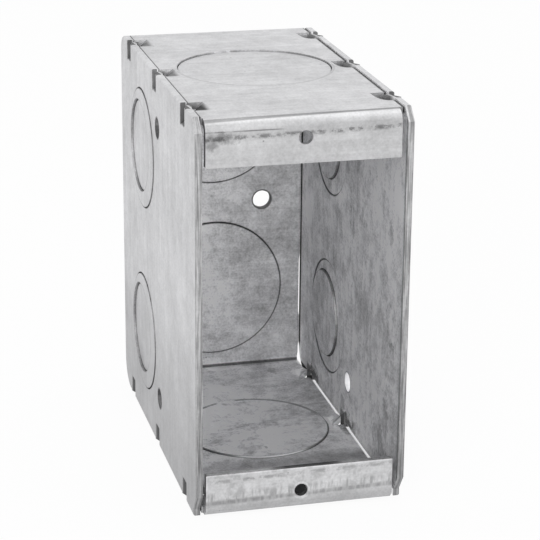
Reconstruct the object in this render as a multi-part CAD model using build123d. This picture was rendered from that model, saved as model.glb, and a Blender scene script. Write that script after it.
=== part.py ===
from build123d import *
import os

# A one-gang masonry box pressed from galvanised sheet: a folded strip makes the top, back, bottom
# and the two device ears, and a flat plate closes each side. The pieces are locked together by
# crimps along the four long corners, where both sheets are sheared and pressed in together.
# X runs across the box, Y from the open front to the back, and Z up.
# The origin is at the middle of the footprint, on the surface that the box stands on.
# Sizes are in millimetres.

# Overall sizes
box_width = 49.2  # over the side plates
box_depth = 88.9
box_height = 93.7  # over the side plates
sheet = 1.6

# Clearances
plate_lap = 0.4  # the plates stand this far past the strip, above and below
side_gap = 0.35  # between a panel of the strip and the plate beside it
loose_corner_gap = 0.85  # the same at the bottom right, where light shows through
left_ear_gap = 0.75  # between an ear and the plate beside it
right_ear_gap = 1.3
shear_gap = 0.25  # width of a sheared cut

# Folded strip
ear_bend_radius = 2.8  # outer side
back_bend_radius = 2.1  # outer side
ear_corner_radius = 0.3
ear_relief = 0.4  # the ears narrow this far behind their bend

# Tapped holes for the device screws
device_screw_spacing = 83.34
device_hole_radius = 1.5
device_hole_chamfer = 0.15
ear_edge_distance = 5.7  # from the hole to the free edge of the ear

# Side plates
plate_front_chamfer = 3.0
plate_toe_setback = 2.9
plate_toe_rise = 1.7
plate_toe_height = 5.7
plate_back_top_radius = 4.0
plate_back_bottom_radius = 7.0
plate_edge_roll = 0.5

# Round knockouts in the top, back and bottom. Tie angles run round the hole, and start at the back
# in the top and bottom and at the top in the back.
large_knockout_land = 4.8  # metal between a knockout's cut and the side plates, before any shift
large_tie_width = 4.0
slug_set = 0.35  # a slug stands this far in from its panel
back_knockout_pitch = 47.4
back_pattern_rise = 1.1  # the holes in the back are punched this far above the middle
back_knockout_shift = -1.0  # left of the middle
back_tie_angle = 200
top_knockout_setback = 47.2  # from the front rim to the centre
top_tie_angle = 12
bottom_knockout_setback = 44.2
bottom_tie_angle = 348

# Double knockouts in the side plates: the small one sits off centre in the large one.
# Their tie angles start at the back and run upwards.
side_collar_radius = 14.6
side_slug_radius = 11.2
side_slug_offset = 2.6  # towards the back
side_collar_set = 0.2  # the collar stands this far out from its plate
side_knockout_inset = 27.9  # from the back to the collar's centre
side_knockout_pitch = 47.4
side_knockout_rise = 0.7  # above the middle
side_tie_width = 1.7
collar_tie_angles = (160, 330)
slug_tie_angle = 0

# Fixing holes
fixing_hole_radius = 2.4
back_hole_offset = 12.0  # right of the middle
side_hole_lead = 19.2  # in front of the collars' centres
side_hole_pitch = 68.0
side_hole_rise = 0.3  # above the middle

# Crimps
crimp_end_setback = 12.15  # from the front and the back to the nearest crimp, in a centred row
crimp_row_shift = 0.8  # the row sits this far behind the middle of the depth
crimps_per_corner = 3
plate_tab_length = 5.0
plate_tab_height = 4.8
plate_tab_shoulder = 0.8  # the tab reaches its pressed depth over this height
plate_tab_press = 1.1
plate_tab_lean = 0.2  # its edge is pressed in this much further
plate_tab_drop = 0.5
strip_tab_length = 7.2
strip_tab_lead = 1.4  # the strip is sheared this far beyond the cut in the plate
strip_tab_reach = 3.75  # from the side plate to the bend of the tab
strip_tab_press = 2.2
tab_clearance = 0.3  # between the free ends of the two tabs

# Worked out from the values above
front = -box_depth / 2
back = box_depth / 2
mid_height = box_height / 2
plate_inner_face = box_width / 2 - sheet
strip_height = box_height - 2 * plate_lap
mouth_height = device_screw_spacing - 2 * ear_edge_distance
large_knockout_radius = plate_inner_face - large_knockout_land
side_knockout_y = back - side_knockout_inset
crimp_pitch = (box_depth - 2 * crimp_end_setback) / (crimps_per_corner - 1)


def strip_edge(side, level):
    """How far the strip reaches to one side in its top (level 1) or bottom (level -1) panel."""
    is_loose = side == 1 and level == -1
    return plate_inner_face - (loose_corner_gap if is_loose else side_gap)


def side_outline(inset):
    """Face inside the strip's outer side (no inset) or inner side (one sheet in), seen from the side."""
    outline = Rectangle(box_depth - 2 * inset, strip_height - 2 * inset)
    outline = fillet(outline.vertices().group_by(Axis.X)[0], ear_bend_radius - inset)
    return fillet(outline.vertices().group_by(Axis.X)[-1], back_bend_radius - inset)


def front_outline():
    """Face inside the strip's side edges, seen from the front. An edge slants only along the back."""
    end = strip_height / 2
    bend = end - back_bend_radius
    corners = [(-1, end), (-1, bend), (1, bend), (1, end)]
    right = [(strip_edge(1, level), level * height) for level, height in corners]
    left = [(-strip_edge(-1, level), level * height) for level, height in reversed(corners)]
    return make_face(Polyline(*right, *left, close=True))


def folded_strip():
    """The strip bent round the box, with its front left open between two narrower ears."""
    side_view = Plane((0, 0, mid_height), x_dir=(0, 1, 0), z_dir=(1, 0, 0))
    front_view = Plane((0, 0, mid_height), x_dir=(1, 0, 0), z_dir=(0, -1, 0))
    section = side_view * (side_outline(0) - side_outline(sheet))
    strip = extrude(section, amount=box_width / 2, both=True)
    strip &= extrude(front_view * front_outline(), amount=box_depth, both=True)
    mouth_depth = ear_bend_radius + sheet
    strip -= Pos(0, front, mid_height) * Box(box_width, 2 * mouth_depth, mouth_height)
    relief_depth = ear_bend_radius + ear_relief
    for side, ear_gap in ((-1, left_ear_gap), (1, right_ear_gap)):
        relief_width = sheet + ear_gap
        relief_middle = side * (box_width - relief_width) / 2
        strip -= Pos(relief_middle, front, mid_height) * Box(relief_width, 2 * relief_depth, box_height)
    ear_corners = strip.edges().filter_by(Axis.Y).group_by(Axis.Y)[0]
    return fillet(ear_corners, ear_corner_radius)


def round_hole(radius, centre, direction):
    """Cutter for a hole through one sheet, centred half-way through it."""
    return Plane(centre, z_dir=direction) * Cylinder(radius, 2 * sheet)


def tapped_hole(centre):
    """Cutter for a device-screw hole, with its mouth eased on the front face."""
    hole = round_hole(device_hole_radius, centre, (0, -1, 0))
    mouth_radius = device_hole_radius + device_hole_chamfer
    below_face = (Align.CENTER, Align.CENTER, Align.MAX)
    mouth = Cone(device_hole_radius, mouth_radius, device_hole_chamfer, align=below_face)
    return hole + Plane((centre[0], front, centre[2]), z_dir=(0, -1, 0)) * mouth


def disc(radius, low, high):
    """Round slice of a panel between two levels. The panel's outer face is at level 0."""
    return Pos(0, 0, low) * Cylinder(radius, high - low, align=(Align.CENTER, Align.CENTER, Align.MIN))


def tie(radius, width, angle, low, high):
    """Bridge of metal left across the cut of a knockout."""
    bridge_length = 3 * shear_gap
    return Rot(0, 0, angle) * Pos(radius, 0, (low + high) / 2) * Box(bridge_length, width, high - low)


def punch_knockout(panel, site, tie_angle):
    """Shear a large slug out of a panel and leave it set in on its tie."""
    opening = disc(large_knockout_radius + shear_gap / 2, -sheet, 0)
    slug = disc(large_knockout_radius - shear_gap / 2, -sheet - slug_set, -slug_set)
    bridge = tie(large_knockout_radius, large_tie_width, tie_angle, -sheet, -slug_set)
    return panel - site * opening + site * slug + site * bridge


def punch_double_knockout(plate, site):
    """Shear a collar and, off centre inside it, a slug. The collar stands out and the slug stands in."""
    slug_site = site * Pos(side_slug_offset, 0, 0)
    collar_low = side_collar_set - sheet
    plate -= site * disc(side_collar_radius + shear_gap / 2, -sheet, 0)
    plate += site * disc(side_collar_radius - shear_gap / 2, collar_low, side_collar_set)
    for angle in collar_tie_angles:
        plate += site * tie(side_collar_radius, side_tie_width, angle, collar_low, 0)
    plate -= slug_site * disc(side_slug_radius + shear_gap / 2, collar_low, side_collar_set)
    plate += slug_site * disc(side_slug_radius - shear_gap / 2, -sheet - slug_set, -slug_set)
    return plate + slug_site * tie(side_slug_radius, side_tie_width, slug_tie_angle, collar_low, -slug_set)


def cross_section(points, side, level, y):
    """Outline across a corner of the box. Its points are (outwards, upwards) from the box's middle."""
    return Wire.make_polygon([(side * across, y, mid_height + level * up) for across, up in points])


def press_tab(piece, flat, bent, side, level, cut_y, length):
    """Shear a tab at one end and press its free end from its flat section to its bent one.

    The top crimps are sheared at their back end, and the bottom ones at their front end."""
    hinge_y = cut_y - level * length
    free_y = cut_y - level * shear_gap
    hinge_section = cross_section(flat, side, level, hinge_y)
    free_section = cross_section(bent, side, level, free_y)
    notch = Solid.extrude(Face(hinge_section), Vector(0, cut_y - hinge_y, 0))
    return piece - notch + Solid.make_loft([hinge_section, free_section], ruled=True)


def crimp_plate(plate, side, level, cut_y):
    """Press a tab at the edge of a side plate inwards, behind a short shoulder."""
    inner, outer = plate_inner_face, plate_inner_face + sheet
    edge = box_height / 2
    root = edge - plate_tab_height
    shoulder = root + plate_tab_shoulder
    edge_press = plate_tab_press + plate_tab_lean
    bent_edge = edge - plate_tab_drop
    flat = [(inner, root), (outer, root), (outer, shoulder), (outer, edge), (inner, edge), (inner, shoulder)]
    bent = [
        (inner, root),
        (outer, root),
        (outer - plate_tab_press, shoulder),
        (outer - edge_press, bent_edge),
        (inner - edge_press, bent_edge),
        (inner - plate_tab_press, shoulder),
    ]
    return press_tab(plate, flat, bent, side, level, cut_y, plate_tab_length)


def crimp_strip(strip, side, level, cut_y):
    """Press the strip's edge into the box, clear of the tab of the side plate."""
    edge = strip_edge(side, level)
    root = plate_inner_face - strip_tab_reach
    bent_edge = plate_inner_face - plate_tab_press - plate_tab_lean - tab_clearance
    outer, inner = strip_height / 2, strip_height / 2 - sheet
    flat = [(root, inner), (root, outer), (edge, outer), (edge, inner)]
    bent = [
        (root, inner),
        (root, outer),
        (bent_edge, outer - strip_tab_press),
        (bent_edge, inner - strip_tab_press),
    ]
    return press_tab(strip, flat, bent, side, level, cut_y, strip_tab_length)


def crimp_cuts(level):
    """Where the crimps of one corner are sheared in the plate, along the depth."""
    first_middle = crimp_row_shift - crimp_pitch * (crimps_per_corner - 1) / 2
    first_cut = first_middle + level * plate_tab_length / 2
    return [first_cut + crimp_pitch * index for index in range(crimps_per_corner)]


def wrap_strip():
    strip = folded_strip()
    top_centre = (0, front + top_knockout_setback, mid_height + strip_height / 2)
    bottom_centre = (0, front + bottom_knockout_setback, mid_height - strip_height / 2)
    top_site = Plane(top_centre, x_dir=(0, 1, 0), z_dir=(0, 0, 1))
    bottom_site = Plane(bottom_centre, x_dir=(0, 1, 0), z_dir=(0, 0, -1))
    strip = punch_knockout(strip, top_site, top_tie_angle)
    strip = punch_knockout(strip, bottom_site, bottom_tie_angle)
    for level in (-1, 1):
        knockout_z = mid_height + back_pattern_rise + level * back_knockout_pitch / 2
        back_site = Plane((back_knockout_shift, back, knockout_z), x_dir=(0, 0, 1), z_dir=(0, 1, 0))
        strip = punch_knockout(strip, back_site, back_tie_angle)
        ear_hole_z = mid_height + level * device_screw_spacing / 2
        strip -= tapped_hole((0, front + sheet / 2, ear_hole_z))
        for side in (-1, 1):
            for plate_cut in crimp_cuts(level):
                strip = crimp_strip(strip, side, level, plate_cut + level * strip_tab_lead)
    fixing_hole_centre = (back_hole_offset, back - sheet / 2, mid_height + back_pattern_rise)
    return strip - round_hole(fixing_hole_radius, fixing_hole_centre, (0, 1, 0))


def plate_blank():
    """Flat blank of a side plate, seen from the side. Its front edge is on the left."""
    outline = Polyline(
        (front, plate_toe_height),
        (front + plate_toe_setback, plate_toe_rise),
        (front + plate_toe_setback, 0),
        (back, 0),
        (back, box_height),
        (front + plate_front_chamfer, box_height),
        (front, box_height - plate_front_chamfer),
        close=True,
    )
    blank = make_face(outline)
    blank = fillet(blank.vertices().group_by(Axis.X)[-1].sort_by(Axis.Y)[0], plate_back_bottom_radius)
    return fillet(blank.vertices().group_by(Axis.X)[-1].sort_by(Axis.Y)[-1], plate_back_top_radius)


def right_plate():
    plate = extrude(Plane.YZ.offset(plate_inner_face) * plate_blank(), amount=sheet)
    plate = fillet(plate.faces().sort_by(Axis.X)[-1].edges(), plate_edge_roll)
    for level in (-1, 1):
        knockout_z = mid_height + side_knockout_rise + level * side_knockout_pitch / 2
        knockout_centre = (box_width / 2, side_knockout_y, knockout_z)
        site = Plane(knockout_centre, x_dir=(0, 1, 0), z_dir=(1, 0, 0))
        plate = punch_double_knockout(plate, site)
        hole_z = mid_height + side_hole_rise + level * side_hole_pitch / 2
        hole_centre = (plate_inner_face + sheet / 2, side_knockout_y - side_hole_lead, hole_z)
        plate -= round_hole(fixing_hole_radius, hole_centre, (1, 0, 0))
        for cut_y in crimp_cuts(level):
            plate = crimp_plate(plate, 1, level, cut_y)
    return plate


def write_piece(name, piece):
    piece.label = name
    export_step(piece, f"parts/{name}.step")
    print(name, "volume", round(piece.volume, 1))


os.makedirs("parts", exist_ok=True)
right_side_plate = right_plate()
write_piece("wrap_strip", wrap_strip())
write_piece("right_side_plate", right_side_plate)
write_piece("left_side_plate", mirror(right_side_plate, about=Plane.YZ))
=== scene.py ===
import math

import bmesh
import bpy
from mathutils import Matrix, Vector


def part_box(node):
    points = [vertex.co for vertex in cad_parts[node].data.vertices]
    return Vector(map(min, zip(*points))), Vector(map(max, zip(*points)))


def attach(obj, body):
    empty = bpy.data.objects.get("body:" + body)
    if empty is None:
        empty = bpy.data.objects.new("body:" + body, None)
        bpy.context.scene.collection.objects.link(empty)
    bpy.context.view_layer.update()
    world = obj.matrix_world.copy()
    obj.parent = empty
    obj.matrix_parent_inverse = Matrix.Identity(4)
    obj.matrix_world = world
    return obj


# A galvanised masonry box on a white studio floor.
# X runs across the box, Y from the open front to the back, and Z up. Sizes are in metres.

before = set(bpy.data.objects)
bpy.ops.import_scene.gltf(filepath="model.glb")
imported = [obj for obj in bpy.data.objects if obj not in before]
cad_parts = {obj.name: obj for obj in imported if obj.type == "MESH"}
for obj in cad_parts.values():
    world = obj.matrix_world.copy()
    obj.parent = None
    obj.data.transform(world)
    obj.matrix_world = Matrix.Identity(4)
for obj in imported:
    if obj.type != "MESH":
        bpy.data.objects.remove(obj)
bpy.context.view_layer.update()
millimetre = 0.001

# Camera, fitted to the photograph
camera_azimuth = -14.294  # degrees, from the front towards the left
camera_elevation = 18.922
camera_roll = 0.504
camera_distance = 0.48806
camera_aim = (0, 0.00055, 0.0474)
camera_slide_right = 0.003527
camera_slide_up = -0.003812
camera_lens = 134.22  # millimetres, on a 36 mm sensor
camera_sensor = 36.0

# Sheets
strip_low, strip_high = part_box("wrap_strip")
plate_low, plate_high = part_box("right_side_plate")
middle = Vector((0, (plate_low.y + plate_high.y) / 2, (plate_low.z + plate_high.z) / 2))
sheet = 1.6 * millimetre
front_face = strip_low.y
plate_face = plate_high.x
back_inner_face = strip_high.y - sheet
floor_top = strip_low.z + sheet
back_bend_radius = 2.1 * millimetre
strip_edge = 22.65 * millimetre
open_strip_edge = 22.15 * millimetre  # low in the back on the right, where light shows past it

# Crimps
crimp_pitch = 32.3 * millimetre
crimp_row_middle = 0.8 * millimetre
rear_crimp_y = crimp_row_middle + crimp_pitch
plate_tab_height = 4.8 * millimetre
plate_tab_half_length = 2.7 * millimetre
strip_tab_reach = 5.4 * millimetre  # from the outer face of the side plate
strip_pocket_half_length = 2.4 * millimetre
strip_pocket_depth = 4.45 * millimetre

# Holes and knockouts. Those in the back and the sides come in pairs, above and below their own middle.
fixing_hole_radius = 2.4 * millimetre
back_hole_x = 12.0 * millimetre
back_hole_rise = 1.1 * millimetre
nail_hole_y = -2.65 * millimetre
nail_hole_z = 34.0 * millimetre
nail_hole_rise = 0.3 * millimetre
side_knockout_y = 16.55 * millimetre
side_knockout_z = 23.7 * millimetre
side_knockout_rise = 0.7 * millimetre
side_collar_radius = 14.6 * millimetre
side_slug_radius = 11.2 * millimetre
side_slug_offset = 2.6 * millimetre
large_knockout_radius = 18.2 * millimetre
top_knockout_y = 2.75 * millimetre
bottom_knockout_y = -0.25 * millimetre
back_knockout_x = -1.0 * millimetre
back_knockout_z = 23.7 * millimetre
back_knockout_rise = 1.1 * millimetre

# Ties of the large knockouts, from the centre of each knockout
panel_tie = (-3.8 * millimetre, 17.8 * millimetre)  # in x and y
back_tie = (-6.2 * millimetre, -17.1 * millimetre)  # in x and z
tie_half_width = 1.9 * millimetre

# Device ears. Their scuffs and the line of their bend run at a slight slope.
ear_depth = 1.5 * millimetre
lower_ear_tip = middle.z - 35.97 * millimetre
ear_left_edge = -22.25 * millimetre
screw_hole_radius = 1.5 * millimetre
lower_screw_hole_z = middle.z - 41.67 * millimetre
scuff_slope = 0.02
upper_scuffs_z = strip_high.z - 3.65 * millimetre
lower_scuffs_z = strip_low.z + 3.95 * millimetre
press_line_z = strip_high.z - 2.55 * millimetre
bend_line_y = front_face + 2.15 * millimetre
bend_line_slope = 0.031

# Marks, in millimetres: where each is, and how far it reaches along each axis
dark_marks_on_the_right_plate = {
    "above the front crimp": ((23, 1.5, 5.5), (0.8, 5.0, 4.5)),
    "in front of the front crimp": ((23, -9.0, 4.0), (0.8, 9.0, 2.4)),
    "low behind the ear": ((23, -29.5, 9.0), (0.8, 7.0, 8.0)),
    "behind the ear": ((23, -33.5, 15.0), (0.8, 3.2, 8.0)),
    "scratched spot near the front": ((23, -34.3, 62.0), (0.8, 2.6, 5.0)),
    "spot near the front": ((23, -36.8, 35.4), (0.8, 2.6, 1.8)),
    "smear below the upper knockout": ((23, -4.0, 55.5), (0.8, 3.0, 6.0)),
}
faint_marks_on_the_right_plate = {
    "streaks across the middle": ((23, -19.0, 35.0), (0.8, 34.0, 15.0)),
    "shade above the middle": ((23, -6.0, 66.0), (0.8, 16.0, 12.0)),
}
# Painted shade in the dents at the crimps, inside the right plate
crimp_shade_on_the_right_plate = {
    "at the front crimp": ((23, -3.6, 2.6), (3.0, 7.5, 3.0)),
    "at the rear crimp": ((23, 28.6, 3.2), (3.0, 7.0, 2.6)),
}
# Lighter spots inside the right plate
bright_marks_on_the_right_plate = {
    "lighter beside the upper knockout": ((23, 7.3, 58.3), (0.8, 3.8, 2.4)),
    "lighter beside the rear crimp": ((23, 20.6, 6.8), (0.8, 5.5, 2.2)),
}
dark_marks_on_the_strip = {
    "in front of the front crimp": ((21.6, -6.5, 2.0), (1.3, 4.0, 0.8)),
    "spot behind the knockout": ((13.5, 35.5, 2.0), (2.0, 3.0, 0.8)),
    "spot on the knockout": ((-0.4, -13.0, 2.35), (0.6, 1.0, 0.4)),
    "blot at the left of the top ear": ((-18.8, -44.45, 89.3), (5.8, 0.8, 1.6)),
    "smear below it": ((-21.0, -44.45, 87.9), (2.2, 0.8, 1.3)),
}
# Painted shade in the dents at the crimps, on the floor
crimp_shade_on_the_strip = {
    "at the front crimp": ((23.2, -2.4, 2.4), (4.0, 4.4, 3.0)),
    "at the rear crimp": ((23.4, 30.6, 2.4), (3.6, 4.6, 3.0)),
}
# Painted highlights at the rims of the dents beside the crimps, on the floor
painted_highlights_on_the_strip = {
    "lighter beside the rear crimp": ((19.8, 32.7, 2.0), (1.7, 4.2, 0.8)),
    "lighter beside the front crimp": ((19.3, 0.3, 2.0), (2.0, 3.2, 0.8)),
}

# Burrs. Each row of the back's edge burr is a height and its reach from the cut edge, in millimetres.
back_edge_burr_rows = (
    (3.0, 0.0), (4.0, 0.18), (6.3, 0.18), (7.2, 0.37), (14.5, 0.36), (16.0, 0.05),
    (30.0, 0.02), (32.5, 0.27), (40.0, 0.23), (55.0, 0.15), (70.0, 0.07), (84.0, 0.0),
)
back_edge_burr_thickness = 0.2 * millimetre
back_edge_burr_root = 0.05 * millimetre
knockout_burr_half_width = 0.14 * millimetre
knockout_burr_thickness = 0.12 * millimetre
knockout_burr_segments = 96

# Studio
floor_reach = 6.0
floor_colour = 0.9
floor_lift = 0.94  # share of plain white that the camera and reflections see in the floor
world_fill = 0.7  # what the surroundings give matt surfaces

# Metal
zinc_colour = (0.72, 0.72, 0.73)
metal_share = 0.75  # the rest of the zinc skin scatters light as paint does
grazing_tint = (0.78, 0.78, 0.79, 1)
# Tone where dirt and painted shade are full
dirt_and_shade_tone = 0.08
bump_strength = 0.3
bump_height = 0.05 * millimetre
outer_tone = 0.89  # painted shade: the outer faces are darker
# Painted light: the inner faces are lighter
inner_tone = 1.20
# Tone of painted highlights
highlight_tone = 1.3
burnished_roughness = 0.1

# Patterns left by rolling, in features to the metre along each axis. The strip was rolled along X
# and the plates along Z.
strip_streaks = (30, 700, 700)
strip_hairlines = (90, 3500, 3500)
plate_streaks = (500, 500, 25)
plate_hairlines = (3000, 3000, 70)

# Specks
speck_spacing = 3.2 * millimetre
speck_radius = 0.22 * millimetre
speck_share = 0.12

# Wide changes of tone. Each has two ends, and an end is a place and the tone there.
# Painted light and shade: inside, the strip is lighter at the left and darker at the right, and the floor
# is darker at its front and lighter behind.
strip_tone_across = ((-24 * millimetre, 1.20), (20 * millimetre, 0.82))
floor_tone_along = ((-21 * millimetre, 0.68), (-16 * millimetre, 1.12))
# Painted shade: outside, the plates are darker towards the bottom. Inside, they are darker towards the
# back.
plate_tone_upwards = ((5 * millimetre, 0.73), (50 * millimetre, 1.04))
plate_tone_along = ((0.0, 1.06), (40 * millimetre, 0.94))
lower_ear_tone_upwards = ((2 * millimetre, 0.94), (7 * millimetre, 1.08))


def add_node(tree, kind, inputs=None, **settings):
    """Add a node. Each input takes a plain value or another node's output."""
    node = tree.nodes.new(kind)
    for name, value in settings.items():
        setattr(node, name, value)
    for name, value in (inputs or {}).items():
        if isinstance(value, bpy.types.NodeSocket):
            tree.links.new(value, node.inputs[name])
        else:
            node.inputs[name].default_value = value
    return node


def calculate(tree, operation, first, second=0.0, third=0.0):
    node = add_node(tree, "ShaderNodeMath", {0: first, 1: second, 2: third}, operation=operation)
    return node.outputs[0]


def combine(tree, operation, first, second, output=0):
    """Combine two vectors."""
    node = add_node(tree, "ShaderNodeVectorMath", {0: first, 1: second}, operation=operation)
    return node.outputs[output]


def product(tree, *values):
    result = values[0]
    for value in values[1:]:
        result = calculate(tree, "MULTIPLY", result, value)
    return result


def most(tree, *masks):
    """The largest of some masks."""
    result = masks[0]
    for mask in masks[1:]:
        result = calculate(tree, "MAXIMUM", result, mask)
    return result


def rest(tree, mask):
    """1 where a mask is 0, and 0 where it is 1."""
    return calculate(tree, "SUBTRACT", 1.0, mask)


def above(tree, value, limit):
    return calculate(tree, "GREATER_THAN", value, limit)


def below(tree, value, limit):
    return calculate(tree, "LESS_THAN", value, limit)


def blend(tree, share, from_value, to_value):
    return calculate(tree, "MULTIPLY_ADD", share, to_value - from_value, from_value)


def blend_towards(tree, share, value):
    """1 where share is 0, and the value of another node where it is 1."""
    return calculate(tree, "MULTIPLY_ADD", calculate(tree, "SUBTRACT", value, 1.0), share, 1.0)


def ramp(tree, value, low, high, from_value=0.0, to_value=1.0):
    """Follow value from low to high, smoothly, as from_value to to_value."""
    inputs = {"Value": value, "From Min": low, "From Max": high, "To Min": from_value, "To Max": to_value}
    return add_node(tree, "ShaderNodeMapRange", inputs, interpolation_type="SMOOTHSTEP").outputs[0]


def falling(tree, value, low, high):
    """1 up to low, falling softly to 0 at high."""
    return ramp(tree, value, low, high, 1.0, 0.0)


def between_ends(tree, value, ends):
    """Follow value smoothly between two ends, each a place and the result there."""
    (low, from_value), (high, to_value) = ends
    return ramp(tree, value, low, high, from_value, to_value)


def band(tree, value, centre, half_width, softness):
    """1 where value is near centre, falling softly to 0 on both sides."""
    distance = calculate(tree, "ABSOLUTE", calculate(tree, "SUBTRACT", value, centre))
    return falling(tree, distance, half_width, half_width + softness)


def noise(tree, place, scale, detail=2.0, roughness=0.5):
    """Noise with a scale of its own along each axis, in features to the metre."""
    stretched = add_node(tree, "ShaderNodeMapping", {"Vector": place, "Scale": scale})
    inputs = {"Vector": stretched.outputs[0], "Scale": 1.0, "Detail": detail, "Roughness": roughness}
    return add_node(tree, "ShaderNodeTexNoise", inputs).outputs[0]


def distance_to(tree, skin_first, first, skin_second, second):
    """Distance to a line that runs square to two axes."""
    one = calculate(tree, "SUBTRACT", skin_first, first)
    two = calculate(tree, "SUBTRACT", skin_second, second)
    squares = calculate(tree, "ADD", product(tree, one, one), product(tree, two, two))
    return calculate(tree, "SQRT", squares)


def new_material(name):
    material = bpy.data.materials.new(name)
    material.use_nodes = True
    material.node_tree.nodes.clear()
    return material


class Skin:
    """Where a point of the metal skin lies, and which way it faces."""

    def __init__(self, tree):
        coordinates = add_node(tree, "ShaderNodeTexCoord").outputs
        self.place = coordinates["Object"]
        position = add_node(tree, "ShaderNodeSeparateXYZ", {0: self.place}).outputs
        facing = add_node(tree, "ShaderNodeSeparateXYZ", {0: coordinates["Normal"]}).outputs
        self.x, self.y, self.z = position
        self.across = calculate(tree, "ABSOLUTE", self.x)
        self.facing_x = calculate(tree, "ABSOLUTE", facing["X"])
        self.facing_y = calculate(tree, "ABSOLUTE", facing["Y"])
        self.facing_z = calculate(tree, "ABSOLUTE", facing["Z"])
        self.above_middle = calculate(tree, "SUBTRACT", self.z, middle.z)
        self.from_middle = calculate(tree, "ABSOLUTE", self.above_middle)
        outwards = combine(tree, "SUBTRACT", self.place, middle)
        outward = combine(tree, "DOT_PRODUCT", outwards, coordinates["Normal"], "Value")
        self.inside = falling(tree, outward, -2 * millimetre, 2 * millimetre)
        row = calculate(tree, "SUBTRACT", self.y, crimp_row_middle)
        self.from_crimp = calculate(tree, "PINGPONG", row, crimp_pitch / 2)
        self.ragged = noise(tree, self.place, (600, 600, 600), 3.0, 0.7)


def occlusion(tree, reach):
    """How open the surface is to its surroundings within a short reach, from 0 to 1."""
    return add_node(tree, "ShaderNodeAmbientOcclusion", {"Distance": reach}, samples=8).outputs["AO"]


def crevice_shade(tree):
    """Painted shade: 1 in narrow cuts and less in inside corners."""
    return falling(tree, occlusion(tree, 0.9 * millimetre), 0.15, 0.62)


def corner_shade(tree):
    """A little less than 1 where other metal is close by."""
    return ramp(tree, occlusion(tree, 2.5 * millimetre), 0.1, 0.6, 0.6, 1.0)


def darker(tree, tone, mask, depth):
    """Lower the tone by a share of itself where the mask is 1."""
    return product(tree, tone, blend(tree, mask, 1.0, 1.0 - depth))


def brighter(tree, tone, mask, gain):
    """Raise the tone by a share of itself where the mask is 1."""
    return product(tree, tone, blend(tree, mask, 1.0, 1.0 + gain))


def rolled_zinc(tree, skin, streak_scale, hairline_scale):
    """Tone, roughness and height of dull zinc on rolled steel.

    It has streaks along the rolling direction, a soft spangle and a fine grain.
    The inner faces have more spangle and grain than the outer ones."""
    streaks = noise(tree, skin.place, streak_scale, 3.0, 0.55)
    hairlines = noise(tree, skin.place, hairline_scale, 2.0, 0.6)
    cloud = noise(tree, skin.place, (70, 70, 70), 3.0, 0.6)
    mottle = noise(tree, skin.place, (240, 240, 240), 2.0, 0.5)
    spangle = noise(tree, skin.place, (500, 500, 500), 3.0, 0.6)
    grain = noise(tree, skin.place, (1900, 1900, 1900), 2.0, 0.6)
    tone = blend(tree, skin.inside, outer_tone, inner_tone)
    layers = (
        (streaks, 0.25, 0.50),
        (hairlines, 0.14, 0.35),
        (cloud, 0.40, 1.30),
        (mottle, 0.15, 0.90),
        (spangle, 0.30, 0.90),
        (grain, 0.35, 1.00),
    )
    for pattern, outer_strength, inner_strength in layers:
        strength = blend(tree, skin.inside, outer_strength, inner_strength)
        tone = calculate(tree, "MULTIPLY_ADD", calculate(tree, "SUBTRACT", pattern, 0.5), strength, tone)
    roughness = calculate(tree, "MULTIPLY_ADD", spangle, 0.25, 0.30)
    roughness = calculate(tree, "MULTIPLY_ADD", hairlines, 0.10, roughness)
    height = calculate(tree, "MULTIPLY_ADD", hairlines, 0.4, product(tree, streaks, 0.4))
    height = calculate(tree, "MULTIPLY_ADD", spangle, 0.3, height)
    return tone, roughness, height


def finish_metal(tree, tone, roughness, height, dirt_and_shade, matt=0.0):
    """End a material with a dull metal shader, which is matt and dark where it is dirty and where shade is
    painted.

    Where the mask matt is 1 it scatters light as paint does, and keeps its tone."""
    free_of_dirt_and_shade = rest(tree, dirt_and_shade)
    shade = product(tree, tone, blend(tree, dirt_and_shade, 1.0, dirt_and_shade_tone))
    base = add_node(tree, "ShaderNodeVectorMath", {0: zinc_colour, "Scale": shade}, operation="SCALE")
    inputs = {"Height": height, "Strength": bump_strength, "Distance": bump_height}
    bump = add_node(tree, "ShaderNodeBump", inputs)
    inputs = {
        "Base Color": base.outputs[0],
        "Metallic": product(tree, free_of_dirt_and_shade, rest(tree, matt), metal_share),
        "Roughness": most(tree, roughness, dirt_and_shade),
        "Specular Tint": grazing_tint,
        "Normal": bump.outputs[0],
    }
    shader = add_node(tree, "ShaderNodeBsdfPrincipled", inputs)
    add_node(tree, "ShaderNodeOutputMaterial", {"Surface": shader.outputs[0]})


def specks(tree, skin):
    """1 in a few small round specks scattered over the skin."""
    inputs = {"Vector": skin.place, "Scale": 1 / speck_spacing, "Randomness": 1.0}
    cells = add_node(tree, "ShaderNodeTexVoronoi", inputs, feature="F1", distance="EUCLIDEAN").outputs
    radius = speck_radius / speck_spacing
    spot = falling(tree, cells["Distance"], 0.6 * radius, 1.4 * radius)
    chance = add_node(tree, "ShaderNodeSeparateColor", {0: cells["Color"]}).outputs[0]
    return product(tree, spot, below(tree, chance, speck_share))


def mark(tree, skin, centre, reach):
    """1 at a ragged mark, falling to 0 at about its reach along each axis, in millimetres."""
    offset = combine(tree, "SUBTRACT", skin.place, Vector(centre) * millimetre)
    share = combine(tree, "DIVIDE", offset, Vector(reach) * millimetre)
    length = add_node(tree, "ShaderNodeVectorMath", {0: share}, operation="LENGTH").outputs["Value"]
    return falling(tree, calculate(tree, "MULTIPLY_ADD", skin.ragged, 2.2, length), 1.3, 2.1)


def marks(tree, skin, places):
    """1 at any of some marks."""
    return most(tree, *(mark(tree, skin, centre, reach) for centre, reach in places.values()))


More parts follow.
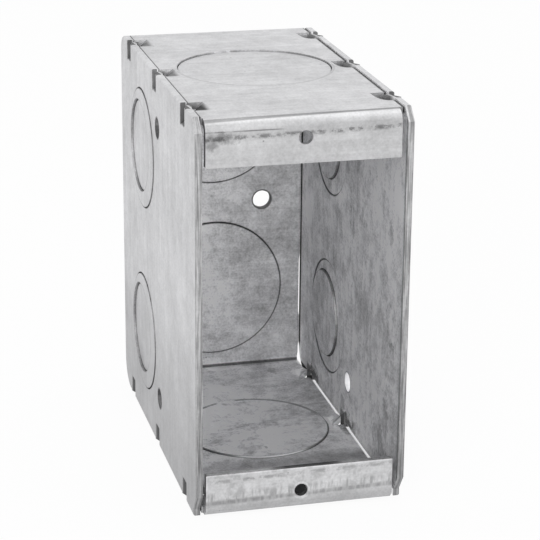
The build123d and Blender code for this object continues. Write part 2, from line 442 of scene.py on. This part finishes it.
def strip_crimps(tree, skin):
    """Painted shade: 1 in the pockets that the crimps leave in the strip. The front ones get the deepest
    painted shade.
    """
    root = plate_face - strip_tab_reach
    near_left = falling(tree, skin.x, -root - 0.7 * millimetre, -root + 0.8 * millimetre)
    near_right = ramp(tree, skin.x, root + 0.8 * millimetre, root + 2.8 * millimetre)
    pocket_end = strip_pocket_half_length + 1.7 * millimetre
    near_crimp = falling(tree, skin.from_crimp, strip_pocket_half_length, pocket_end)
    pocket_floor = strip_high.z - middle.z - strip_pocket_depth
    near_edge = ramp(tree, skin.from_middle, pocket_floor, pocket_floor + 0.6 * millimetre)
    behind_front_crimp = crimp_row_middle - crimp_pitch / 2
    depth = ramp(tree, skin.y, behind_front_crimp, behind_front_crimp + millimetre, 1.0, 0.75)
    sides = most(tree, near_left, near_right)
    return product(tree, sides, near_crimp, near_edge, depth, rest(tree, skin.inside))


def plate_crimps(tree, skin):
    """Painted shade: 1 on the tabs that the crimps press out of a side plate, and on the walls of their
    cuts.
    """
    pressed = band(tree, skin.across, plate_face - 0.9 * millimetre, 0.5 * millimetre, 0.2 * millimetre)
    bulge = plate_face - 2.3 * millimetre
    bulging = falling(tree, skin.across, bulge, bulge + 0.6 * millimetre)
    tab_end = plate_tab_half_length + 0.4 * millimetre
    near_crimp = falling(tree, skin.from_crimp, plate_tab_half_length, tab_end)
    root = middle.z - plate_tab_height
    near_edge = ramp(tree, skin.from_middle, root, root + 0.4 * millimetre)
    return product(tree, most(tree, pressed, bulging), near_crimp, near_edge)


def pair_distance(tree, skin, place, rise, half_pitch):
    """Distance to a pair of centres in a side plate, above and below their own middle."""
    up = calculate(tree, "ABSOLUTE", calculate(tree, "SUBTRACT", skin.above_middle, rise))
    return distance_to(tree, skin.y, place, up, half_pitch)


def nail_hole_walls(tree, skin):
    """1 on the walls of the nail holes in the side plates."""
    distance = pair_distance(tree, skin, nail_hole_y, nail_hole_rise, nail_hole_z)
    wall_end = fixing_hole_radius + 0.1 * millimetre
    return falling(tree, distance, wall_end - 0.05 * millimetre, wall_end)


def nail_hole_rims(tree, skin):
    """Thin dark lines round the nail holes."""
    distance = pair_distance(tree, skin, nail_hole_y, nail_hole_rise, nail_hole_z)
    return band(tree, distance, fixing_hole_radius + 0.2 * millimetre, 0.1 * millimetre, 0.15 * millimetre)


def back_hole_rim(tree, skin):
    """1 on the wall and the rim of the hole in the back."""
    distance = distance_to(tree, skin.x, back_hole_x, skin.above_middle, back_hole_rise)
    rim_end = fixing_hole_radius + 0.2 * millimetre
    at_back = above(tree, skin.y, back_inner_face - 0.1 * millimetre)
    return product(tree, falling(tree, distance, rim_end, rim_end + 0.3 * millimetre), at_back)


def side_shear_lines(tree, skin):
    """Thin dark lines round the collars and slugs of the side plates."""
    slug_y = side_knockout_y + side_slug_offset
    collar = pair_distance(tree, skin, side_knockout_y, side_knockout_rise, side_knockout_z)
    slug = pair_distance(tree, skin, slug_y, side_knockout_rise, side_knockout_z)
    return most(
        tree,
        band(tree, collar, side_collar_radius, 0.16 * millimetre, 0.2 * millimetre),
        band(tree, slug, side_slug_radius, 0.16 * millimetre, 0.2 * millimetre),
    )


def shear_line(tree, skin, from_centre, from_tie):
    """A dark ring at the cut of a large knockout, which stops at the tie. It is fainter outside."""
    ring = band(tree, from_centre, large_knockout_radius, 0.18 * millimetre, 0.2 * millimetre)
    off_tie = ramp(tree, from_tie, tie_half_width, tie_half_width + 0.4 * millimetre)
    return product(tree, ring, blend(tree, skin.inside, 0.28, 0.55), off_tie)


def panel_knockout(tree, skin):
    """Where a point lies beside the knockout in its own panel, which is the top or the bottom.

    Gives the distances to the centre and to the tie, and how far behind the centre the point is."""
    centre_y = blend(tree, above(tree, skin.above_middle, 0.0), bottom_knockout_y, top_knockout_y)
    tie_x, tie_y = panel_tie
    from_centre = distance_to(tree, skin.x, 0.0, skin.y, centre_y)
    from_tie = distance_to(tree, skin.x, tie_x, skin.y, calculate(tree, "ADD", centre_y, tie_y))
    return from_centre, from_tie, calculate(tree, "SUBTRACT", skin.y, centre_y)


def faint_front_rim(tree, skin, from_centre, behind):
    """A faint line outside along the front of a knockout, where the cut itself is out of sight."""
    middle_of_rim = large_knockout_radius + 0.35 * millimetre
    rim = band(tree, from_centre, middle_of_rim, 0.25 * millimetre, 0.3 * millimetre)
    return product(tree, rim, below(tree, behind, 0.0), rest(tree, skin.inside), 0.22)


def shaded_back_rim(tree, skin, from_centre, from_tie, behind):
    """Painted shade in a dark margin inside along the back of a knockout's slug."""
    middle_of_rim = large_knockout_radius - 0.5 * millimetre
    rim = band(tree, from_centre, middle_of_rim, 0.35 * millimetre, 0.35 * millimetre)
    at_back = ramp(tree, behind, 0.0, 10 * millimetre)
    off_tie = ramp(tree, from_tie, 2.0 * millimetre, 3.2 * millimetre)
    return product(tree, rim, skin.inside, at_back, off_tie, 0.6)


def panel_shear_lines(tree, skin):
    """Dark lines at the cuts of the knockouts in the top and the bottom."""
    from_centre, from_tie, behind = panel_knockout(tree, skin)
    lines = most(
        tree,
        shear_line(tree, skin, from_centre, from_tie),
        faint_front_rim(tree, skin, from_centre, behind),
        shaded_back_rim(tree, skin, from_centre, from_tie, behind),
    )
    return product(tree, lines, above(tree, skin.from_middle, middle.z - 4 * millimetre))


def back_shear_lines(tree, skin):
    """Dark rings round the two knockouts in the back."""
    rise = calculate(tree, "SUBTRACT", skin.above_middle, back_knockout_rise)
    to_centre = blend(tree, above(tree, rise, 0.0), back_knockout_z, -back_knockout_z)
    up = calculate(tree, "ADD", rise, to_centre)
    tie_x, tie_z = back_tie
    from_centre = distance_to(tree, skin.x, back_knockout_x, up, 0.0)
    from_tie = distance_to(tree, skin.x, back_knockout_x + tie_x, up, tie_z)
    at_back = above(tree, skin.y, back_inner_face - millimetre)
    return product(tree, shear_line(tree, skin, from_centre, from_tie), at_back)


def bright_slug_rim(tree, skin):
    """Painted highlight: 1 on the front rim of the knockout in the floor, where its sheared wall catches
    the light.
    """
    facing_front = ramp(tree, skin.facing_y, 0.75, 0.95)
    in_front = below(tree, skin.y, bottom_knockout_y)
    distance = distance_to(tree, skin.x, 0.0, skin.y, bottom_knockout_y)
    at_rim = band(tree, distance, large_knockout_radius, 0.25 * millimetre, 0.05 * millimetre)
    above_floor = band(tree, skin.z, floor_top + 0.17 * millimetre, 0.2 * millimetre, 0.05 * millimetre)
    return product(tree, facing_front, in_front, at_rim, above_floor)


def top_cut_light(tree, skin):
    """1 in the cut of the knockout in the top, which is less deep in shade than the others."""
    distance = distance_to(tree, skin.x, 0.0, skin.y, top_knockout_y)
    near_cut = band(tree, distance, large_knockout_radius, 0.3 * millimetre, 0.2 * millimetre)
    return product(tree, near_cut, above(tree, skin.z, strip_high.z - 2 * sheet))


def back_gap(tree, skin):
    """1 on the plate where it meets the back. There the seam is in deep shade, apart from its open end."""
    beside_back = ramp(tree, skin.y, back_inner_face - 0.15 * millimetre, back_inner_face)
    above_open_end = ramp(tree, skin.z, floor_top + 3 * millimetre, floor_top + 5 * millimetre)
    return product(tree, beside_back, above_open_end, skin.inside)


def below_floor(tree, skin):
    """1 inside on the margin of a plate below the floor of the box."""
    low = falling(tree, skin.z, floor_top - 0.15 * millimetre, floor_top - 0.05 * millimetre)
    return product(tree, low, skin.inside)


def smooth_highlit_margin(tree, skin):
    """1 on this margin in front of the rear crimp, where the shear left it smooth. It carries a painted
    highlight.
    """
    before_crimp = falling(tree, skin.y, rear_crimp_y - 4.1 * millimetre, rear_crimp_y - 3.1 * millimetre)
    return product(tree, below_floor(tree, skin), before_crimp, ramp(tree, skin.facing_x, 0.6, 0.9))


def shaded_margin(tree, skin):
    """Painted shade: 1 on the same margin from the rear crimp to the back."""
    behind = band(tree, skin.y, rear_crimp_y + 2.9 * millimetre, 5.5 * millimetre, 0.5 * millimetre)
    return product(tree, below_floor(tree, skin), behind)


def on_ears(tree, skin):
    return falling(tree, skin.y, front_face, front_face + ear_depth)


def above_scuffs(tree, skin, height):
    """Height above a row of scuffs, which slopes up to the right."""
    line = calculate(tree, "MULTIPLY_ADD", skin.x, scuff_slope, height)
    return calculate(tree, "SUBTRACT", skin.z, line)


def upper_ear_scuffs_and_shade(tree, skin, patches):
    """Dark patches in a row on the upper ear, and a little painted shade above them."""
    height = above_scuffs(tree, skin, upper_scuffs_z)
    row = product(tree, band(tree, height, 0.0, 0.15 * millimetre, 0.75 * millimetre), patches)
    shade = band(tree, height, 0.7 * millimetre, 0.7 * millimetre, 0.6 * millimetre)
    return most(tree, row, product(tree, shade, above(tree, skin.z, middle.z), 0.16))


def lower_ear_scuffs(tree, skin, patches):
    """A dark row on the lower ear, with smears and blotches above it, and patches near the tip."""
    height = above_scuffs(tree, skin, lower_scuffs_z)
    on_lower_ear = below(tree, skin.z, middle.z)
    streaks = ramp(tree, noise(tree, skin.place, (900, 900, 120), 3.0, 0.65), 0.36, 0.60)
    row = band(tree, height, 0.0, 0.15 * millimetre, 0.8 * millimetre)
    below_row = ramp(tree, height, -2.2 * millimetre, 0.0, 0.2, 0.05)
    smears = ramp(tree, noise(tree, skin.place, (800, 800, 90), 3.0, 0.7), 0.46, 0.62)
    above_row = band(tree, height, 1.1 * millimetre, 0.5 * millimetre, 1.6 * millimetre)
    blotches = ramp(tree, noise(tree, skin.place, (260, 260, 260), 3.0, 0.7), 0.50, 0.66)
    near_tip = band(tree, height, 5.2 * millimetre, 0.15 * millimetre, 0.6 * millimetre)
    return most(
        tree,
        product(tree, row, blend(tree, streaks, 0.35, 0.75)),
        product(tree, below_row, below(tree, height, 0.0)),
        product(tree, smears, above_row, 0.6),
        product(tree, blotches, on_lower_ear, 0.35),
        product(tree, near_tip, patches, on_lower_ear, 0.6),
    )


def press_line(tree, skin, patches):
    """A thin line on the left of the upper ear. It is darkest between its middle and its right end."""
    line = band(tree, skin.z, press_line_z, 0.05 * millimetre, 0.2 * millimetre)
    on_left = falling(tree, skin.x, -8 * millimetre, -2 * millimetre)
    darkest = band(tree, skin.x, -9.5 * millimetre, 3.5 * millimetre, 3 * millimetre)
    return product(tree, line, on_left, most(tree, darkest, blend(tree, patches, 0.4, 0.8)))


def ear_scuffs_and_shade(tree, skin):
    """Dark smears on the ears, where the press held the sheet next to the bend, and a little painted shade
    on the upper ear.
    """
    patches = ramp(tree, noise(tree, skin.place, (380, 380, 450), 4.0, 0.75), 0.42, 0.60)
    upper = upper_ear_scuffs_and_shade(tree, skin, patches)
    lower = lower_ear_scuffs(tree, skin, patches)
    scuffs = most(tree, upper, lower, press_line(tree, skin, patches))
    return product(tree, on_ears(tree, skin), scuffs)


def lower_ear_tone_and_highlights(tree, skin):
    """Tone of the lower ear: lighter above its scuffs and round its screw hole, with painted highlights
    along its rims, and darker at its bend.
    """
    # Painted highlights along the rims
    rim_highlight_tone = 1.22
    bend_low = strip_low.z + 0.2 * millimetre
    bend = ramp(tree, skin.z, bend_low, bend_low + 1.1 * millimetre, 0.68, 1.0)
    rim_low = lower_ear_tip - 0.35 * millimetre
    tip_rim = ramp(tree, skin.z, rim_low, rim_low + 0.15 * millimetre, 1.0, rim_highlight_tone)
    rim_left = ear_left_edge + 0.2 * millimetre
    left_rim = ramp(tree, skin.x, rim_left, rim_left + 0.2 * millimetre, rim_highlight_tone, 1.0)
    from_hole = distance_to(tree, skin.x, 0.0, skin.z, lower_screw_hole_z)
    ring = band(tree, from_hole, screw_hole_radius + 0.35 * millimetre, 0.2 * millimetre, 0.2 * millimetre)
    upwards = between_ends(tree, skin.z, lower_ear_tone_upwards)
    tone = product(tree, upwards, bend, tip_rim, left_rim, blend(tree, ring, 1.0, 1.18))
    on_lower_ear = product(tree, on_ears(tree, skin), below(tree, skin.z, middle.z))
    return blend_towards(tree, on_lower_ear, tone)


def bend_line(tree, skin):
    """A dark line along the top, where the bend of the ear starts."""
    from_line = calculate(tree, "MULTIPLY_ADD", skin.x, -bend_line_slope, skin.y)
    line = band(tree, from_line, bend_line_y, 0.3 * millimetre, 0.4 * millimetre)
    return product(tree, line, above(tree, skin.z, middle.z), rest(tree, skin.inside))


def behind_lower_ear(tree, skin):
    """Painted shade: 1 inside the box in the deep corner behind the lower ear, most of all behind its screw
    hole.
    """
    corner_end = front_face + 9.45 * millimetre
    near_front = falling(tree, skin.y, corner_end, corner_end + 8 * millimetre)
    behind = above(tree, skin.y, front_face + 0.1 * millimetre)
    seen_in_hole = band(tree, skin.x, 2 * millimetre, 5 * millimetre, 5 * millimetre)
    corner = product(tree, near_front, skin.inside, below(tree, skin.z, middle.z), behind)
    return product(tree, corner, blend(tree, seen_in_hole, 0.6, 1.0))


def inner_folds(tree, skin):
    """Painted shade: 1 in the two inside folds at the back."""
    from_back = calculate(tree, "SUBTRACT", back_inner_face, skin.y)
    from_panel = calculate(tree, "SUBTRACT", strip_high.z - sheet - middle.z, skin.from_middle)
    from_fold = calculate(tree, "ADD", from_back, from_panel)
    return product(tree, falling(tree, from_fold, 0.35 * millimetre, 0.8 * millimetre), skin.inside)


def strip_seam_shade(tree, skin):
    """Painted shade: 1 on the outer margins of the strip beside the side plates, along their seams."""
    beside_plate = ramp(tree, skin.across, strip_edge - 0.35 * millimetre, strip_edge - 0.15 * millimetre)
    return product(tree, beside_plate, ramp(tree, skin.facing_z, 0.5, 0.8), rest(tree, skin.inside))


def strip_tone(tree, skin, tone):
    """The tone of the zinc on the strip, with its wear, its marks, and painted light and shade."""
    # Painted light and shade: inside lighter at the left and darker at the right, the floor darker at its
    # front, and shade in corners
    across = between_ends(tree, skin.x, strip_tone_across)
    tone = product(tree, tone, blend_towards(tree, skin.inside, across))
    on_floor = product(tree, below(tree, skin.z, floor_top + millimetre), skin.inside)
    along = between_ends(tree, skin.y, floor_tone_along)
    tone = product(tree, tone, blend_towards(tree, on_floor, along))
    tone = darker(tree, tone, on_ears(tree, skin), 0.13)
    tone = product(tree, tone, lower_ear_tone_and_highlights(tree, skin))
    tone = darker(tree, tone, ear_scuffs_and_shade(tree, skin), 0.6)
    tone = darker(tree, tone, bend_line(tree, skin), 0.5)
    tone = darker(tree, tone, marks(tree, skin, dark_marks_on_the_strip), 0.45)
    # Painted highlights beside the crimps on the floor
    bright_patches = product(tree, marks(tree, skin, painted_highlights_on_the_strip), skin.inside)
    tone = brighter(tree, tone, bright_patches, 0.9)
    tone = darker(tree, tone, specks(tree, skin), 0.45)
    tone = darker(tree, tone, ramp(tree, skin.facing_x, 0.3, 0.7), 0.25)
    return product(tree, tone, corner_shade(tree))


# Dark cut lines, a dark rim round the back hole, and painted shade in cuts, corners, crimp pockets, the
# folds at the back, the seams beside the plates and behind the lower ear
def strip_dirt_and_shade(tree, skin):
    return most(
        tree,
        crevice_shade(tree),
        strip_crimps(tree, skin),
        product(tree, marks(tree, skin, crimp_shade_on_the_strip), skin.inside, 0.9),
        panel_shear_lines(tree, skin),
        back_shear_lines(tree, skin),
        product(tree, back_hole_rim(tree, skin), 0.8),
        product(tree, inner_folds(tree, skin), 0.85),
        product(tree, strip_seam_shade(tree, skin), 0.8),
        behind_lower_ear(tree, skin),
    )


def strip_material():
    material = new_material("strip_steel")
    tree = material.node_tree
    skin = Skin(tree)
    tone, roughness, height = rolled_zinc(tree, skin, strip_streaks, strip_hairlines)
    tone = strip_tone(tree, skin, tone)
    slug_rim = bright_slug_rim(tree, skin)
    tone = most(tree, tone, product(tree, slug_rim, highlight_tone))
    free_of_dirt_and_shade = most(tree, slug_rim, product(tree, top_cut_light(tree, skin), 0.45))
    dirt_and_shade = product(tree, strip_dirt_and_shade(tree, skin), rest(tree, free_of_dirt_and_shade))
    finish_metal(tree, tone, roughness, height, dirt_and_shade, slug_rim)
    return material


def front_edge_wear(tree, skin):
    """How much darker the front edges of a side plate are, in streaks along the edge."""
    streaks = ramp(tree, noise(tree, skin.place, (2600, 90, 90), 3.0, 0.6), 0.35, 0.65)
    edge = ramp(tree, skin.facing_y, 0.4, 0.8)
    rolled_corner = ramp(tree, product(tree, skin.facing_x, skin.facing_y, 2.0), 0.5, 1.0)
    line_end = front_face + 1.6 * millimetre
    wear_end = front_face + 4.45 * millimetre
    inner_line = falling(tree, skin.y, line_end - 0.9 * millimetre, line_end)
    wear = most(
        tree,
        product(tree, edge, blend(tree, streaks, 1.0, 0.2), 0.65),
        product(tree, rolled_corner, blend(tree, streaks, 1.0, 0.6), 0.5),
        product(tree, inner_line, skin.inside, skin.facing_x, 0.5),
    )
    return product(tree, falling(tree, skin.y, wear_end, wear_end + 2 * millimetre), wear)


def right_plate_marks(tree, skin, tone):
    """The tone inside the right plate, with its smears, painted shade above the middle, and lighter spots.
    """
    smears = ramp(tree, noise(tree, skin.place, (500, 500, 60), 3.0, 0.65), 0.40, 0.60)
    dark = product(tree, marks(tree, skin, dark_marks_on_the_right_plate), blend(tree, smears, 0.4, 1.0))
    faint = product(tree, marks(tree, skin, faint_marks_on_the_right_plate), blend(tree, smears, 0.3, 1.0))
    bright_patches = product(tree, marks(tree, skin, bright_marks_on_the_right_plate), skin.inside)
    tone = darker(tree, tone, dark, 0.45)
    tone = darker(tree, tone, faint, 0.28)
    return brighter(tree, tone, bright_patches, 0.5)


def plate_tone(tree, skin, tone):
    """The tone of the zinc on a side plate, with its wear, its marks and painted shade."""
    # Painted shade: outside, the plates are darker towards the bottom
    upwards = between_ends(tree, skin.z, plate_tone_upwards)
    tone = product(tree, tone, most(tree, upwards, skin.inside))
    along = between_ends(tree, skin.y, plate_tone_along)
    tone = product(tree, tone, blend_towards(tree, skin.inside, along))
    tone = darker(tree, tone, front_edge_wear(tree, skin), 1.0)
    tone = darker(tree, tone, specks(tree, skin), 0.45)
    tone = darker(tree, tone, side_shear_lines(tree, skin), 0.5)
    tone = darker(tree, tone, nail_hole_rims(tree, skin), 0.5)
    tone = right_plate_marks(tree, skin, tone)
    return product(tree, tone, corner_shade(tree))


# Painted shade in cuts, corners, the crimp tabs, the nail hole walls, the seam at the back and the margin
# below the floor
def plate_dirt_and_shade(tree, skin, hole_walls):
    return most(
        tree,
        crevice_shade(tree),
        product(tree, plate_crimps(tree, skin), 0.85),
        product(tree, marks(tree, skin, crimp_shade_on_the_right_plate), skin.inside, 0.9),
        product(tree, hole_walls, 0.85),
        back_gap(tree, skin),
        shaded_margin(tree, skin),
    )


def plate_material():
    material = new_material("plate_steel")
    tree = material.node_tree
    skin = Skin(tree)
    tone, roughness, height = rolled_zinc(tree, skin, plate_streaks, plate_hairlines)
    tone = plate_tone(tree, skin, tone)
    hole_walls = nail_hole_walls(tree, skin)
    smooth_highlit = smooth_highlit_margin(tree, skin)
    # Painted highlights on the walls of the right plate's nail holes and on the smooth margin below the
    # floor
    bright = most(tree, product(tree, hole_walls, above(tree, skin.x, 0.0)), smooth_highlit)
    tone = most(tree, tone, product(tree, bright, highlight_tone))
    dirt_and_shade = product(tree, plate_dirt_and_shade(tree, skin, hole_walls), rest(tree, bright))
    smooth = product(tree, smooth_highlit, 1.0 - burnished_roughness)
    roughness = product(tree, roughness, rest(tree, smooth))
    finish_metal(tree, tone, roughness, height, dirt_and_shade)
    return material


def join_sections(mesh, first, second):
    """Close the skin between two sections of as many corners."""
    for index in range(len(first)):
        after = (index + 1) % len(first)
        mesh.faces.new((first[index], second[index], second[after], first[after]))


def add_burr(name, mesh, material):
    """Turn a finished mesh into a piece of the strip."""
    mesh.normal_update()
    data = bpy.data.meshes.new(name)
    mesh.to_mesh(data)
    mesh.free()
    data.materials.append(material)
    burr = bpy.data.objects.new(name, data)
    bpy.context.scene.collection.objects.link(burr)
    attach(burr, "root")


def knockout_burr(name, centre, turn, material):
    """The thin ring of torn metal inside the cut of a large knockout. No light passes it."""
    inner = large_knockout_radius - knockout_burr_half_width
    outer = large_knockout_radius + knockout_burr_half_width
    top = knockout_burr_thickness
    section = ((inner, 0.0), (outer, 0.0), (outer, top), (inner, top))
    mesh = bmesh.new()
    sections = []
    for index in range(knockout_burr_segments):
        angle = 2 * math.pi * index / knockout_burr_segments
        corners = [(radius * math.cos(angle), radius * math.sin(angle), level) for radius, level in section]
        sections.append([mesh.verts.new(Vector(centre) + turn @ Vector(corner)) for corner in corners])
    for first, second in zip(sections, sections[1:] + sections[:1]):
        join_sections(mesh, first, second)
    add_burr(name, mesh, material)


def knockout_burrs(material):
    """One ring in each large knockout, half-way through the sheet."""
    flat = Matrix.Identity(3)
    upright = Matrix.Rotation(-math.pi / 2, 3, "X")
    top_place = (0, top_knockout_y, strip_high.z - sheet / 2)
    bottom_place = (0, bottom_knockout_y, strip_low.z + sheet / 2)
    knockout_burr("top_knockout_burr", top_place, flat, material)
    knockout_burr("bottom_knockout_burr", bottom_place, flat, material)
    for name, level in (("upper_back_knockout_burr", 1), ("lower_back_knockout_burr", -1)):
        height = middle.z + back_knockout_rise + level * back_knockout_z
        back_place = (back_knockout_x, back_inner_face + sheet / 2, height)
        knockout_burr(name, back_place, upright, material)


def back_edge_burr(material):
    """The ragged burr that the shear left along the back's right edge. It nearly closes the seam there."""
    lowest = strip_low.z + back_bend_radius
    highest = strip_high.z - back_bend_radius
    thickness = back_edge_burr_thickness
    mesh = bmesh.new()
    sections = []
    for height, reach in back_edge_burr_rows:
        z = height * millimetre
        edge = open_strip_edge + (strip_edge - open_strip_edge) * (z - lowest) / (highest - lowest)
        root = edge - back_edge_burr_root
        tip = edge + reach * millimetre
        section = ((root, 0.0), (root, thickness), (tip, thickness * 0.3), (tip, 0.0))
        sections.append([mesh.verts.new((x, back_inner_face + y, z)) for x, y in section])
    for lower, upper in zip(sections, sections[1:]):
        join_sections(mesh, lower, upper)
    mesh.faces.new(sections[0])
    mesh.faces.new(reversed(sections[-1]))
    add_burr("back_edge_burr", mesh, material)


def give(node_name, material):
    """Put one material in every slot of a CAD piece."""
    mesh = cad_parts[node_name].data
    if not mesh.materials:
        mesh.materials.append(material)
    for index in range(len(mesh.materials)):
        mesh.materials[index] = material


def background_rays(tree):
    """1 for the rays of the camera, reflections and see-through surfaces, otherwise 0."""
    rays = add_node(tree, "ShaderNodeLightPath").outputs
    return most(tree, rays["Is Camera Ray"], rays["Is Glossy Ray"], rays["Is Transmission Ray"])


def white_floor_material():
    """White to the camera and in reflections, but it still takes the shadow of the box."""
    material = new_material("studio_floor")
    tree = material.node_tree
    lift = product(tree, background_rays(tree), floor_lift)
    matt = add_node(tree, "ShaderNodeBsdfDiffuse", {"Color": (floor_colour, floor_colour, floor_colour, 1)})
    white = add_node(tree, "ShaderNodeEmission", {"Color": (1, 1, 1, 1), "Strength": 1.0})
    mixed = add_node(tree, "ShaderNodeMixShader", {0: lift, 1: matt.outputs[0], 2: white.outputs[0]})
    add_node(tree, "ShaderNodeOutputMaterial", {"Surface": mixed.outputs[0]})
    return material


def studio_floor():
    mesh = bpy.data.meshes.new("studio_floor")
    reach = floor_reach
    corners = [(-reach, -reach, 0), (reach, -reach, 0), (reach, reach, 0), (-reach, reach, 0)]
    mesh.from_pydata(corners, [], [(0, 1, 2, 3)])
    mesh.materials.append(white_floor_material())
    floor = bpy.data.objects.new("studio_floor", mesh)
    bpy.context.scene.collection.objects.link(floor)


def studio_world():
    world = bpy.data.worlds.new("studio")
    world.use_nodes = True
    tree = world.node_tree
    tree.nodes.clear()
    strength = blend(tree, background_rays(tree), world_fill, 1.0)
    background = add_node(tree, "ShaderNodeBackground", {"Color": (1, 1, 1, 1), "Strength": strength})
    add_node(tree, "ShaderNodeOutputWorld", {"Surface": background.outputs[0]})
    bpy.context.scene.world = world


def soft_light(name, place, size, watts):
    """Square lamp that faces the middle of the box."""
    data = bpy.data.lights.new(name, "AREA")
    data.size = size
    data.energy = watts
    lamp = bpy.data.objects.new(name, data)
    lamp.location = place
    lamp.rotation_euler = (Vector(camera_aim) - Vector(place)).to_track_quat("-Z", "Y").to_euler()
    bpy.context.scene.collection.objects.link(lamp)


def photograph_camera():
    azimuth = math.radians(camera_azimuth)
    elevation = math.radians(camera_elevation)
    roll = math.radians(camera_roll)
    back = Vector((
        math.sin(azimuth) * math.cos(elevation),
        -math.cos(azimuth) * math.cos(elevation),
        math.sin(elevation),
    ))
    right = Vector((0, 0, 1)).cross(back).normalized()
    up = back.cross(right)
    place = Vector(camera_aim) + camera_slide_right * right + camera_slide_up * up + camera_distance * back
    tilted_right = math.cos(roll) * right + math.sin(roll) * up
    tilted_up = math.cos(roll) * up - math.sin(roll) * right
    data = bpy.data.cameras.new("photograph")
    data.lens = camera_lens
    data.sensor_width = camera_sensor
    camera = bpy.data.objects.new("photograph", data)
    turn = Matrix((tilted_right, tilted_up, back)).transposed().to_4x4()
    camera.matrix_world = Matrix.Translation(place) @ turn
    bpy.context.scene.collection.objects.link(camera)
    bpy.context.scene.camera = camera


photograph_camera()
studio_floor()
studio_world()
soft_light("overhead", place=(0.1, 0.1, 1.2), size=1.0, watts=2.5)
soft_light("front_left", place=(-0.6, -0.95, 0.42), size=0.5, watts=5.0)
bpy.context.scene.view_settings.view_transform = "Standard"

strip_steel = strip_material()
give("wrap_strip", strip_steel)
back_edge_burr(strip_steel)
knockout_burrs(strip_steel)
plate_steel = plate_material()
give("left_side_plate", plate_steel)
give("right_side_plate", plate_steel)
